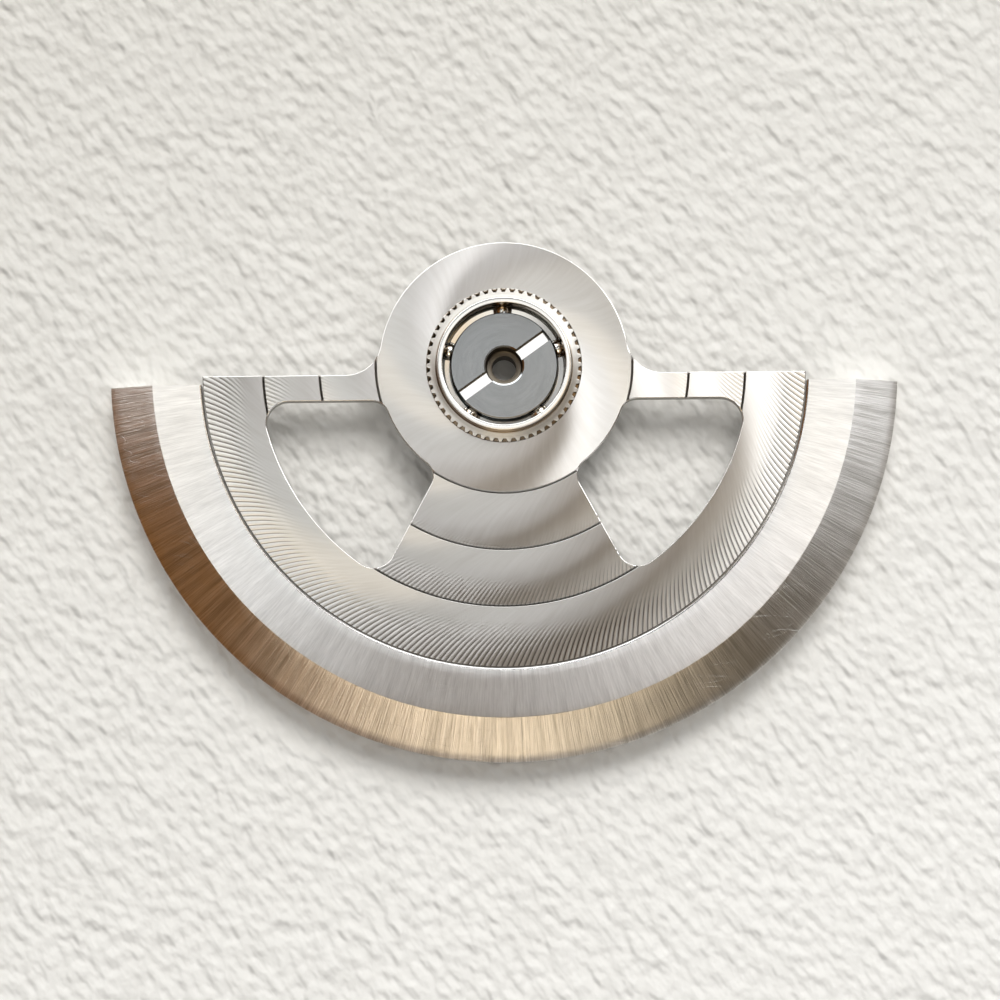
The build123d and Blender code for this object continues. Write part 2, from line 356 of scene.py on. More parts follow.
def metal(name, light, dark, roughness, stroke, length, depth, spread=0.0, scratch=0.0,
          groove=(0.30, 0.27, 0.24)):
    """A finished metal: its two tones, its roughness, and the width, length and depth of its strokes in mm.

    The spread across the strokes goes from 0 to 1, scratch is their depth as a share of the strokes' own, and
    groove is the colour of the shade painted into grooves and hollows.
    """
    material, tree = blank_material(name)
    place = add(tree, "ShaderNodeTexCoord").outputs["Object"]
    place = add(tree, "ShaderNodeVectorMath", {0: place, "Scale": 1 / MM}, operation="SCALE").outputs[0]
    grain = add(tree, "ShaderNodeUVMap", uv_map="grain").outputs[0]
    strokes = placed(tree, brushing, {"Grain": grain, "Stroke Width": stroke, "Stroke Length": length})
    handled = placed(tree, marks, {"Place": place, "Smudge Size": smudge_size})
    edges = placed(tree, worn_edge, {"Place": place})
    worn = edges["Mask"]

    # the groove colour is painted shade, mixed in where the mesh marks a groove or hollow
    tone = mixed(tree, edges["Painted Shade"], mixed(tree, strokes["Tone"], dark, light), groove)
    dull = maths(tree, "MULTIPLY_ADD", handled["Smudge"], smudge_roughness, roughness)
    rough = maths(tree, "MULTIPLY_ADD", worn, maths(tree, "SUBTRACT", worn_roughness, dull), dull)
    relief = maths(tree, "MULTIPLY_ADD", handled["Scratch"], -scratch, strokes["Height"])
    unworn = maths(tree, "SUBTRACT", 1.0, worn)
    bump = add(tree, "ShaderNodeBump", {"Height": relief, "Strength": unworn, "Distance": depth * MM})
    shader = add(tree, "ShaderNodeBsdfPrincipled", {
        "Base Color": tone, "Roughness": rough, "Metallic": 1.0, "Normal": bump.outputs[0],
        "Anisotropic": spread, "Anisotropic Rotation": 0.25})
    if spread:
        strokes_run = add(tree, "ShaderNodeTangent", direction_type="UV_MAP", uv_map="grain")
        tree.links.new(strokes_run.outputs[0], shader.inputs["Tangent"])
    add(tree, "ShaderNodeOutputMaterial", {"Surface": shader.outputs[0]})
    return material


def dressed(piece, body, slot, materials, *nodes):
    """A finished piece: its materials, the body it rides on, its slot (not used), and the CAD nodes it stands
    for.
    """
    for material in materials if isinstance(materials, tuple) else (materials,):
        piece.data.materials.append(material)
    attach(piece, body)
    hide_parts(*nodes)
    return piece


# the plate's near-black groove colour is painted shade at the ribs' feet and in the grooves of the steps
plate_metal = metal("plate metal", light=(0.625, 0.615, 0.60), dark=(0.56, 0.545, 0.525), roughness=0.284,
                    stroke=0.14, length=1.5, depth=0.0004, spread=1.0, scratch=0.3, groove=(0.10, 0.09, 0.08))
# the plate's cut walls: a rougher finish, and a darker colour that paints the shade they lie in
cut_edge_painted_dark = metal("cut edge of the plate, painted dark for shade", light=(0.50, 0.475, 0.45), dark=(0.40, 0.38, 0.36), roughness=0.34,
                 stroke=0.05, length=0.6, depth=0.002)
segment_alloy = metal("segment alloy", light=(0.92, 0.915, 0.91), dark=(0.72, 0.715, 0.71), roughness=0.60,
                      stroke=0.055, length=0.7, depth=0.005, spread=0.94, scratch=0.2)
bevel_alloy = metal("segment alloy, finer brushed", light=(0.87, 0.85, 0.83), dark=(0.45, 0.435, 0.41),
                    roughness=0.29, stroke=0.045, length=1.6, depth=0.012, spread=0.89, scratch=0.2)
# for the ring's two steels below, the groove colour is painted shade on the lip's walls and in the tooth gaps
polished_steel = metal("polished steel", light=(0.88, 0.87, 0.84), dark=(0.82, 0.81, 0.78), roughness=0.13,
                       stroke=0.02, length=3.0, depth=0.0002, scratch=0.3, groove=(0.22, 0.17, 0.12))
turned_steel = metal("turned steel", light=(0.80, 0.785, 0.75), dark=(0.60, 0.58, 0.55), roughness=0.36,
                     stroke=0.03, length=1.5, depth=0.0003, spread=0.90, groove=(0.22, 0.17, 0.12))
ground_steel = metal("ground steel", light=(0.36, 0.375, 0.385), dark=(0.31, 0.325, 0.335), roughness=0.22,
                     stroke=0.08, length=0.5, depth=0.0004, scratch=0.5)
bright_cut = metal("bright cut steel", light=(0.95, 0.95, 0.94), dark=(0.91, 0.91, 0.90), roughness=0.15,
                   stroke=0.05, length=1.0, depth=0.0002)
# inside the screw's hole: a dull finish, and a near-black colour that paints the shade in the hole
bore_painted_dark = metal("bore, painted dark for shade", light=(0.15, 0.13, 0.10), dark=(0.10, 0.085, 0.07), roughness=0.45,
                  stroke=0.05, length=1.0, depth=0.001)
print("metals:", [m.name for m in bpy.data.materials])

# %% [markdown]
# ## The carrier plate
#
# The plate is a hub, two arms, a fan-shaped spoke and a band, cut from one disc. Its face has a hub field and
# three stripes. A cutter with a tilted axis mills each stripe in one turn of the plate and leaves curved
# ribs, deep at the stripe's outer edge and gone at its inner edge. The face also slopes: every stripe starts
# high and ends low, so a small step with a groove along its foot parts it from the next.
#
# The ribs are modelled and not only shaded, because their ends show as a scalloped line on the steps. To keep
# the mesh small, the columns of the grid follow the ribs, and the plate's outline cuts the rows to length.

# %% Plate sizes
plate_low, plate_high = (corner.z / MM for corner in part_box("weight_plate"))
bore_radius = 2.50
hub_radius = 4.05
stripe_radii = (4.19, 6.015, 7.84, 9.77)
arm_high_y = -0.27
arm_low_y = -1.12
arm_round = 1.15
window_radius = 7.93
fan_half_angle = np.radians(28.3)
fan_apex_y = 0.59
fan_rounds = (0.55, 0.70)
window_arm_rounds = (0.55, 0.70)
edge_break = 0.025
flange_high = plate_low + 0.20
flange_radius = 10.75
flange_bevel = 0.03
rim_edge_y = -0.57
ribs_per_turn = 340
print("plate from", round(plate_low, 3), "to", round(plate_high, 3), "mm")

# %% [markdown]
# ### Where the edges run
#
# Each window is bounded by two straight sides and two circles, with rounded corners. A rounded corner between
# a side and a circle has its centre one round away from both, which gives a quadratic equation for its place.
# The same functions give the outline moved a little into the metal, for the bevel along every edge.

# %% Outline of the plate
def rounded_corner(start, along, aside, circle, rounding, outside):
    """The arc that joins a circle round the axis to a straight side.

    The centre c is on the line parallel to the side, one rounding away, with |c| equal to the circle's radius
    plus or minus the rounding. Returns the arc's points from the circle to the side.
    """
    base = start + rounding * aside
    reach = circle + rounding if outside else circle - rounding
    half = base @ along
    centre = base + (np.sqrt(half**2 - base @ base + reach**2) - half) * along
    on_circle, on_side = centre * circle / reach, centre - rounding * aside
    from_angle, to_angle = (np.arctan2(*(p - centre)[::-1]) for p in (on_circle, on_side))
    turn = (to_angle - from_angle + np.pi) % (2 * np.pi) - np.pi
    angle = from_angle + turn * np.linspace(0, 1, 25)
    return centre + rounding * np.stack([np.cos(angle), np.sin(angle)], axis=-1)


def side(start, along, aside, inset, rounds):
    """One side of the right-hand window with its two rounded corners, from the hub outwards."""
    start, along, aside = np.array(start), np.array(along), np.array(aside)
    start = start - inset * aside
    inner = rounded_corner(start, along, aside, hub_radius - inset, rounds[0] + inset, True)
    outer = rounded_corner(start, along, aside, window_radius + inset, rounds[1] + inset, False)[::-1]
    share = np.linspace(0, 1, 120)[1:-1, None]
    return np.concatenate([inner, inner[-1] + share * (outer[0] - inner[-1]), outer])


def fan_side(inset):
    """The window's side along the fan-shaped spoke."""
    sine, cosine = np.sin(fan_half_angle), np.cos(fan_half_angle)
    return side((0, fan_apex_y), (sine, -cosine), (cosine, sine), inset, fan_rounds)


def arm_side(inset):
    """The window's side along the lower edge of the arm."""
    return side((0, arm_low_y), (1, 0), (0, -1), inset, window_arm_rounds)


def arm_top(inset):
    """The arm's upper edge, from the hub circle through its large round to the band's end."""
    start, along, aside = np.array([0, arm_high_y - inset]), np.array([1, 0]), np.array([0, 1])
    inner = rounded_corner(start, along, aside, hub_radius - inset, arm_round + inset, True)
    end = np.array([np.sqrt((stripe_radii[-1] - inset) ** 2 - start[1] ** 2), start[1]])
    return np.concatenate([inner, inner[-1] + np.linspace(0, 1, 160)[1:, None] * (end - inner[-1])])


def circle_arc(start, end, turn, count):
    """Points on a circle round the axis from one point to another, the given way round (1 or -1)."""
    first, last = np.arctan2(*start[::-1]), np.arctan2(*end[::-1])
    sweep = turn * ((turn * (last - first)) % (2 * np.pi))
    angle = first + sweep * np.linspace(0, 1, count)[1:-1]
    return np.hypot(*start) * np.stack([np.cos(angle), np.sin(angle)], axis=-1)


def window_path(inset, mirrored):
    """A window's closed edge, with the metal on the right of the path."""
    fan, arm = fan_side(inset), arm_side(inset)
    path = np.concatenate([
        fan, circle_arc(fan[-1], arm[-1], 1, 320), arm[::-1], circle_arc(arm[0], fan[0], -1, 130), fan[:1]])
    return path[::-1] * (-1, 1) if mirrored else path


def outer_path(inset):
    """The plate's outer edge, with the metal on the right: arm, hub, arm, and back along the joint."""
    right = arm_top(inset)
    left = right[::-1] * (-1, 1)
    over = circle_arc(left[-1], right[0], -1, 420)
    joint = circle_arc(right[-1], left[0], -1, 900)
    return np.concatenate([left, over, right, joint, left[:1]])


def angle_at(curve, radius):
    """At what angle a curve that runs outwards from the hub crosses circles of the given radii."""
    return np.interp(radius, np.hypot(*curve.T), np.arctan2(curve[:, 1], curve[:, 0]))


print("window edge", round(length_along(window_path(0, False))[-1], 2), "mm long")

# %% [markdown]
# ### Ribs as a height
#
# A rib line leaves the stripe's outer edge at 28 degrees to the radius and leans over more and more on its
# way in, until it is at 67 degrees. Its lean is a tangent that grows with the square of the way in, and the
# angle it has turned by is the sum of lean over radius. Each rib rises slowly and falls steeply.
#
# The fine strokes between the ribs can't be seen one by one, only by the way they spread the light, so they
# are in the grain map alone. They lean less than the ribs, and the hub has strokes of the same kind.

# %% Face of the plate
# a lean is a pair of tangents, at a field's outer and inner edge
rib_lean = np.tan(np.radians([28.0, 67.0]))
rib_lean_power = 2
stroke_lean = np.tan(np.radians([8.0, 57.0]))
hub_stroke_lean = np.tan(np.radians([-3.0, 41.5]))
stroke_lean_power = 1.5
rib_depth = 0.015
rib_depth_power = 1.5
rib_crest_share = 0.64
rib_crest_power = 0.6
rib_column_shares = np.array([0, 0.5 * rib_crest_share, rib_crest_share, 0.5 * (1 + rib_crest_share)])
# for each field: where the ribs begin and where they are full-grown, and how much shade is painted at their
# feet
rib_growth_shares = (None, (0.70, 0.97), (0.38, 0.85), (0.18, 0.70))
rib_painted_shade_shares = (0, 0.62, 0.78, 1.0)
groove_depth = 0.06
groove_width, groove_floor = 0.08, 0.02
riser_bevel = 0.008
stripe_fall = 0.045
hub_fall = 0.015


def stripe_of(radius):
    """Which field a radius lies in: 0 for the hub, 1 to 3 for the stripes."""
    return np.clip(np.searchsorted(stripe_radii, radius, side="right"), 0, 3)


def stripe_share(radius, field):
    """0 at the inner edge of a field, 1 at its outer edge."""
    inner = (bore_radius, *stripe_radii)[field]
    return np.clip((radius - inner) / (stripe_radii[field] - inner), 0, 1)


def twist(radius, field, leans, power):
    """How far a line has turned round the axis by this radius, counted from the field's outer edge.

    Its lean is the first of two tangents there, and comes near the second with a power of the way in.
    """
    inner = (bore_radius, *stripe_radii)[field]
    fine = np.linspace(inner, stripe_radii[field], 400)
    lean = leans[0] + (leans[1] - leans[0]) * (1 - stripe_share(fine, field)) ** power
    turned_by = np.concatenate([[0], np.cumsum((lean / fine)[1:] * np.diff(fine))])
    return np.interp(radius, fine, turned_by[-1] - turned_by)


def rib(phase):
    """One rib: 0 at its sharp foot, 1 on its crest. A power below 1 rounds the straight rise and fall."""
    phase = phase % 1
    rise, fall = phase / rib_crest_share, (1 - phase) / (1 - rib_crest_share)
    return np.where(phase < rib_crest_share, rise, fall) ** rib_crest_power


def rib_cut(radius, angle, field):
    """How deep the cutter went, 0 at a crest and 1 at a full-grown foot; ribs grow towards the outer edge."""
    if not field:
        return 0 * radius + 0 * angle
    begin, full = rib_growth_shares[field]
    grown = np.clip((stripe_share(radius, field) - begin) / (full - begin), 0, 1)
    phase = (angle - twist(radius, field, rib_lean, rib_lean_power)) * ribs_per_turn / (2 * np.pi)
    return grown**2 * (3 - 2 * grown) * (1 - rib(phase))


def foot_cut(radius, field):
    """The narrow groove along the foot of each step: 0 before it and 1 at its bottom."""
    cut = (radius - stripe_radii[field] + groove_width) / (groove_width - groove_floor)
    return np.clip(cut, 0, 1) * (field < 3)


def face_height(radius, angle, field):
    """Height of the plate's face: the field's slope, less the ribs and less the groove at the step's foot."""
    fall = stripe_fall if field else hub_fall
    depth = rib_depth * np.minimum(radius / stripe_radii[3], 1) ** rib_depth_power
    return (plate_high - fall * stripe_share(radius, field) - depth * rib_cut(radius, angle, field)
            - groove_depth * foot_cut(radius, field))


def face_patch(radii, low, high, field, riser=False):
    """Part of the face between two angles on each row.

    The columns follow the rib lines and are cut to length. With a riser, the first two rows climb the step
    from the field inside this one.
    """
    rows = radii[:, None]
    turned_by = twist(radii, field, rib_lean, rib_lean_power)
    pitch = 2 * np.pi / ribs_per_turn
    first, last = np.floor((low - turned_by).min() / pitch), np.ceil((high - turned_by).max() / pitch)
    shares = rib_column_shares if field else [0]
    columns = np.append((np.arange(first, last)[:, None] + shares).ravel(), last) * pitch
    angle = np.clip(columns + turned_by[:, None], low[:, None], high[:, None])
    height = face_height(rows, angle, field)
    # a negative edge value paints shade at the ribs' feet and in the groove along each step
    edge = -np.maximum(rib_painted_shade_shares[field] * rib_cut(rows, angle, field), foot_cut(rows, field))
    if riser:
        fall = (stripe_fall if field > 1 else hub_fall) + groove_depth
        height[0], height[1] = plate_high - fall, plate_high - riser_bevel
        # the riser is painted dark at its foot and less so at its top: painted shade
        edge[0], edge[1], edge[2] = -1, -0.6, 0
    strokes_turned_by = twist(radii, field, stroke_lean if field else hub_stroke_lean, stroke_lean_power)
    across = (angle - strokes_turned_by[:, None]) * radii.mean()
    along = length_along(np.stack([radii, strokes_turned_by * radii.mean()], -1))[:, None]
    return patch(polar(rows, angle, height), along, across, edge)


def rows_between(start, end, count, close_to=(), foot=False):
    """Radii from start to end, with extra rows where corners begin and along the groove of a step."""
    offsets = np.array([0.002, 0.006, 0.013, 0.024, 0.04, 0.07, 0.11, 0.16])
    extra = np.concatenate([[r, *(r + offsets), *(r - offsets)] for r in close_to]) if close_to else []
    groove = end - np.array([groove_width, 0.5 * (groove_width + groove_floor), groove_floor]) if foot else []
    rows = np.concatenate([np.linspace(start, end, count), extra, groove])
    return np.unique(np.round(rows[(rows >= start) & (rows <= end)], 5))


# %% Plate mesh
def metal_between_windows(radii):
    """Between which angles there is metal at some radii: on the right arm, the spoke and the left arm."""
    fan = angle_at(fan_side(edge_break), radii)
    arm_low, arm_high = angle_at(arm_side(edge_break), radii), angle_at(arm_top(edge_break), radii)
    return (arm_low, arm_high), (-np.pi - fan, fan), (-np.pi - arm_high, -np.pi - arm_low)


def plate_face():
    """All patches of the face: the hub all round, the spoke and arms between the windows, then the band."""
    inner, outer = hub_radius - edge_break, window_radius + edge_break
    hub_rows = rows_between(bore_radius + edge_break, inner, 14)
    half_turn = np.full(len(hub_rows), np.pi)
    patches = [face_patch(hub_rows, -half_turn, half_turn, 0)]
    edges = (inner, *stripe_radii[:3], outer)
    for field, (start, end) in enumerate(zip(edges[:-1], edges[1:])):
        # between the windows lie two whole stripes, and a narrow part of the hub and of the last stripe
        rows = rows_between(start, end, 15 if 0 < field < 3 else 4, (inner, outer), foot=field < 3)
        if field:
            beyond = rows[rows > start + 1.5 * riser_bevel]
            rows = np.concatenate([[start, start, start + riser_bevel], beyond])
        for low, high in metal_between_windows(rows):
            patches.append(face_patch(rows, low, high, field, riser=field > 0))
    band_rows = rows_between(outer, stripe_radii[3] - edge_break, 17)
    arm_high = angle_at(arm_top(edge_break), band_rows)
    return patches + [face_patch(band_rows, -np.pi - arm_high, arm_high, 3)]


def edge_wall(path_of):
    """The plate's side along a closed path: a bevel below, the wall, and a rounded edge up to the face.

    The rounded edge is a quarter circle: its inset is one break less its sine, its depth one break less its
    cosine.
    """
    high = path_of(edge_break)
    radius, angle = np.hypot(*high.T), np.arctan2(high[:, 1], high[:, 0])
    field, fields = stripe_of(radius), range(len(stripe_radii))
    top = np.select([field == f for f in fields], [face_height(radius, angle, f) for f in fields])
    turn = np.radians([90, 60, 30, 0])
    insets = np.array([edge_break, 0, *(edge_break * (1 - np.sin(turn)))])
    heights = [plate_low, plate_low + edge_break, *(top - edge_break * (1 - np.cos(t)) for t in turn)]
    points = np.stack([np.column_stack([path_of(inset), np.broadcast_to(z, len(high))])
                       for inset, z in zip(insets, heights)])
    along = length_along(high)[None, :]
    # about how far up the wall each row lies
    across = np.array([0, 0.05, 0.35, 0.37, 0.39, 0.41])[:, None]
    # the wall takes the plate's second metal, whose darker colour is painted shade
    wall = patch(points[:3], along, across[:3], np.array([[0.2], [0], [0]]), finish=1)
    # along the joint with the segment the rounded edge is painted dark: painted shade in the gap
    at_joint = (radius > stripe_radii[3] - 1.5 * edge_break)[None, :]
    edge = np.where(at_joint, -1, np.array([[0.7], [1], [1], [0.9]]))
    return [wall, patch(points[2:], along, across[2:], edge)]


def plate_back():
    """The flat underside, row by row like the face but with few columns, and the flange under the segment."""
    inner, outer = hub_radius - edge_break, window_radius + edge_break
    share = np.linspace(0, 1, 121)

    def flat(radii, low, high):
        radii, low, high = radii[::-1], low[::-1], high[::-1]
        angle = low[:, None] + (high - low)[:, None] * share
        points = polar(radii[:, None], angle, plate_low)
        return patch(points, points[..., 0], points[..., 1])

    hub = np.linspace(bore_radius, inner, 8)
    patches = [flat(hub, np.full(8, -np.pi), np.full(8, np.pi))]
    middle = rows_between(inner, outer, 12, (inner, outer))
    patches += [flat(middle, low, high) for low, high in metal_between_windows(middle)]
    band = np.linspace(outer, stripe_radii[3] - edge_break, 8)
    arm_high = angle_at(arm_top(edge_break), band)
    patches.append(flat(band, -np.pi - arm_high, arm_high))
    profile = np.array([
        [stripe_radii[3] - edge_break, flange_high], [flange_radius - flange_bevel, flange_high],
        [flange_radius, flange_high - flange_bevel], [flange_radius, plate_low + flange_bevel],
        [flange_radius - flange_bevel, plate_low], [stripe_radii[3] - edge_break, plate_low]])
    end = np.arcsin(rim_edge_y / profile[:, 0])
    angle = (-np.pi - end)[:, None] + (np.pi + 2 * end)[:, None] * np.linspace(0, 1, 301)
    points = polar(profile[:, :1], angle, profile[:, 1:])
    patches.append(patch(points, points[..., 0], points[..., 1]))
    # the flange's two flat ends join its lower to its upper points
    for column, order in ((0, slice(None, None, -1)), (-1, slice(None))):
        ends = np.stack([points[[5, 4, 3], column], points[[0, 1, 2], column]])[order]
        patches.append(patch(ends, ends[..., 0], ends[..., 2]))
    return patches


def make_plate():
    """The carrier plate from its face, its bore, its edges and its back."""
    bore = np.array([
        (bore_radius, plate_low), (bore_radius, plate_high - edge_break),
        (bore_radius + edge_break, plate_high)])
    walls = [*edge_wall(lambda inset: window_path(inset, False)),
             *edge_wall(lambda inset: window_path(inset, True)), *edge_wall(outer_path)]
    bore_wall = turned(bore, np.array([0, 0.5, 1]), ribs_per_turn)
    return skin("striped_plate", plate_face() + walls + plate_back() + [bore_wall])


dressed(make_plate(), "rotor", "plate_metal", (plate_metal, cut_edge_painted_dark), "weight_plate")

# %% [markdown]
# ## The heavy segment
#
# Tungsten alloy is almost twice as heavy as brass, which is why the rim is made of it. It is a half ring: a
# flat, a wide bevel, and a deep rim below. Its profile is carried round half a turn, but the two ends are cut
# straight, so on each row the sweep stops where that row's circle meets the cut. The strokes of the brushing
# run outwards, along the profile, so the grain map has the profile's length along the strokes.

# %% Heavy segment
outer_radius = 12.80
bevel_radius = 11.38
bevel_fall = 0.60
joint_gap = 0.035
flange_gap = 0.005
rim_low, rim_high = (corner.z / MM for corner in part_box("heavy_segment"))
print("rim from", round(rim_low, 3), "to", round(rim_high, 3), "mm")


def half_turned(profile, edge, columns):
    """A profile of (radius, height) points carried round the half turn below the ends' straight cut."""
    end = np.arcsin(rim_edge_y / profile[:, :1])
    angle = -np.pi - end + (np.pi + 2 * end) * np.linspace(0, 1, columns + 1)
    points = polar(profile[:, :1], angle, profile[:, 1:])
    return patch(points, length_along(profile)[:, None], angle * bevel_radius, edge[:, None])


def filled_in(profile, edge, counts, arc_points=4):
    """A softened profile with more points on its straight runs, so that no face of the grid gets too long.

    The run after each corner is cut into as many equal parts as its count says.
    """
    points, values = [], []
    for index, count in enumerate(counts):
        arc = slice(index * arc_points, (index + 1) * arc_points)
        start, end = profile[arc.stop - 1], profile[arc.stop]
        share = np.linspace(0, 1, count + 1)[:-1, None]
        points += [profile[arc][:-1], start + share * (end - start)]
        values += [edge[arc][:-1], np.zeros(count)]
    return np.concatenate([*points, profile[:1]]), np.concatenate([*values, edge[:1]])


def make_segment():
    """The half ring and its two flat ends. The top is brushed coarsely, the bevel and the rim finely."""
    joint, inside = stripe_radii[3] + joint_gap, flange_radius + flange_gap
    # each corner: radius, height, rounding, and how many parts the straight run after it is cut into
    corners = np.array([
        (joint, flange_high, 0.02, 1),
        (joint, rim_high, 0.08, 5),
        (bevel_radius, rim_high, 0.015, 5),
        (outer_radius, rim_high - bevel_fall, 0.01, 3),
        (outer_radius, rim_low, 0.06, 4),
        (inside, rim_low, 0.06, 3),
        (inside, flange_high, 0.02, 1),
    ])
    profile, edge = softened(corners[:, :2], corners[:, 2])
    # only the corners inside the bevel are worn bright, the outer ones keep their brushing
    edge = 1.5 * edge * (profile[:, 0] < bevel_radius - 0.1)
    profile, edge = filled_in(profile, edge, corners[:, 3].astype(int))
    # the finish changes in the middle of the arc where the flat turns into the bevel
    near_turn = np.abs(profile - (bevel_radius, rim_high)).max(axis=1) < 0.03
    turn = np.flatnonzero(near_turn)[near_turn.sum() // 2]
    ring = half_turned(profile, edge, 900)
    patches = [strip(ring, 0, turn + 1, 0), strip(ring, turn, None, 1)]
    for column in (0, -1):
        outline = ring["points"][:-1, column]
        patches.append(flat_cap(outline, (0.0, 1.0, 0.0), outline[:, 2], outline[:, 0], finish=1))
    return skin("brushed_segment", patches, crease=15)


dressed(make_segment(), "rotor", "segment_alloy", (segment_alloy, bevel_alloy), "heavy_segment")

# %% [markdown]
# ## Outer ring of the bearing
#
# The ring is turned from hard steel. Its raised lip is polished, a narrow ledge lies round the lip's foot,
# and its teeth are cut through ledge and wall alike. The profile is carried round as before, but every point
# beyond the teeth's root circle is pulled in and out by the outline of a tooth.

# %% Toothed ring
tooth_count = 54
root_radius, tip_radius = 2.33, 2.52
# half the width of a tooth at its tip and at its root, as a share of the pitch
tip_share, root_share = 0.14, 0.33
tip_bevel = 0.02
lip_in, lip_out, lip_high = 2.00, 2.18, plate_high + 0.40
ledge_foot, ledge_high, ledge_fall = 2.20, plate_high + 0.05, 0.006
gap_floor = plate_high - 0.075
ring_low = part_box("bearing_outer_ring")[0].z / MM
ball_height, ball_circle = 0.52, 1.87
# the balls run in a race whose flat bottom is twice race_half high; its flanks lean by 45 degrees
race_half, race_depth = 0.121, 0.19
print("lip", round(lip_high - plate_high, 3), "mm above the plate,", tooth_count, "teeth")


def ledge_at(radius):
    """Height of the ledge: a flat cone that falls outwards from the lip's foot."""
    return ledge_high - ledge_fall * (radius - ledge_foot) / (tip_radius - ledge_foot)


def tooth_share(angle):
    """The outline of a tooth, 0 at the root and 1 at the tip: a flat tip, straight flanks, a flat root."""
    place = np.abs((angle * tooth_count / (2 * np.pi) + 0.5) % 1 - 0.5)
    return np.clip((root_share - place) / (root_share - tip_share), 0, 1)


def toothed(profile, edge, share_of_teeth):
    """A profile carried round the axis, its outer points moved in to the outline of the teeth."""
    flank = np.array([0.10, tip_share, 0.20, 0.27, root_share, 0.37])
    steps = np.concatenate([[0], flank, [0.5], 1 - flank[::-1]])
    angle = ((np.arange(tooth_count)[:, None] + steps).ravel() / tooth_count - 0.5) * 2 * np.pi
    angle = np.append(angle, np.pi)
    depth = (tip_radius - root_radius) * (1 - tooth_share(angle)) * share_of_teeth[:, None]
    radius = profile[:, :1] - depth
    # on the ledge a point that moves in also climbs the ledge's slope
    on_ledge = (share_of_teeth[:, None] > 0) & (profile[:, 1:] > ledge_high - ledge_fall - tip_bevel)
    height = np.where(on_ledge, ledge_at(radius), profile[:, 1:])
    points = polar(radius, angle, height)
    return patch(points, angle * tip_radius, length_along(profile)[:, None], edge[:, None])


def make_ring():
    """The bearing's outer ring: lip, ledge, teeth, and the groove inside in which the balls run.

    Where the teeth bite into the plate its metal fills the gaps, so there the gaps have a floor. Below the
    plate they run on as the teeth that drive the winding.
    """
    race_low, race_high = ball_height - race_half, ball_height + race_half
    tip_high = ledge_high - ledge_fall
    # each corner: radius, height, rounding
    corners = np.array([
        (lip_in, ring_low, 0.02),
        (lip_in, race_low - race_depth, 0.01),
        (lip_in + race_depth, race_low, 0.01),
        (lip_in + race_depth, race_high, 0.01),
        (lip_in, race_high + race_depth, 0.01),
        (lip_in, lip_high, 0.02),
        (lip_out - 0.02, lip_high, 0.02),
        (ledge_foot, ledge_high, 0.03),
        (2.40, ledge_at(2.40), 0),
    ])
    inner, worn = softened(corners[:, :2], corners[:, 2], steps=5)
    # the last corner isn't rounded, so the first of its six points is enough
    inner, worn = inner[:-6], worn[:-6]
    # painted shade darkens both walls of the lip: inside from the race up, outside down to the ledge
    by_corner = worn[:-1].reshape(-1, 6)
    by_corner[4] = -1
    by_corner[5, :2] = -1, -0.6
    by_corner[6, 3:] = 0, -0.6, -1
    by_corner[7] = -1, -1, -1, -1, -1, -0.6
    # each row further out: radius, height, share of the tooth's depth, edge value
    outside = np.array([
        (2.45, tip_high + 0.03, 0.25, 0),
        (2.49, tip_high + 0.01, 0.50, 0),
        (2.505, tip_high, 0.60, 0),
        # down the teeth's tips and across the gap floor the edge value paints shade into the gaps
        (tip_radius, tip_high - tip_bevel, 0.60, -0.8),
        (tip_radius, gap_floor, 0.60, -1),
        (2.505, gap_floor - 0.01, 0, -1),
        (2.505, plate_low, 0, 0),
        (tip_radius, plate_low - 0.01, 1, 0),
        (tip_radius, ring_low + 0.05, 1, 0.5),
        (tip_radius - 0.05, ring_low, 0.74, 0.3),
        (root_radius, ring_low, 0, 0),
    ])
    profile = np.concatenate([inner, outside[:, :2], inner[:1]])
    share_of_teeth = np.concatenate([np.zeros(len(inner)), outside[:, 2], [0]])
    edge = np.concatenate([worn, outside[:, 3], [0]])
    whole = toothed(profile, edge, share_of_teeth)
    # the ledge, from the lip's foot to the teeth's tips, is turned; all the rest is polished
    foot, tip = len(inner) - 2, len(inner) + 2
    parts = [strip(whole, 0, foot + 1, 0), strip(whole, foot, tip + 1, 1), strip(whole, tip, None, 0)]
    return skin("toothed_ring", parts, crease=30)


dressed(make_ring(), "rotor", "ring_steel", (polished_steel, turned_steel), "bearing_outer_ring")

# %% [markdown]
# ## Core screw
#
# The middle of the bearing stands still. It is a screw: a ground head with a slot across it, a hole for the
# driver's pin, the upper cone on which the balls run, a stem, and a threaded stud. The slot breaks the head's
# circles, so on the rows it crosses each half is its own patch, and its walls and floor are flat patches.

# %% Slotted screw
stud_low, head_high = (corner.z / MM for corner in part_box("centre_screw"))
head_radius, head_bevel = 1.73, 0.03
pilot_radius, pilot_floor = 0.61, head_high - 0.60
pilot_fillet, pilot_bevel = 0.14, 0.05
vent_radius = 0.40
slot_half, slot_floor, slot_angle = 0.20, head_high - 0.28, np.radians(35.5)
slot_narrowing = 0.035
# the two cones begin at cone_radius and reach the head's radius cone_half above and below the balls
cone_radius, cone_half = 1.55, 0.3012
stem_radius = 1.08
stud_radius, stud_bevel, undercut = 0.90, 0.08, 0.03
thread_pitch, thread_depth = 0.16, 0.07
print("screw from", round(stud_low, 3), "to", round(head_high, 3), "mm")


def slot_half_at(height):
    """Half the slot's width at a height: it narrows a little towards its floor."""
    return np.interp(height, (slot_floor, head_high), (slot_half - slot_narrowing, slot_half))


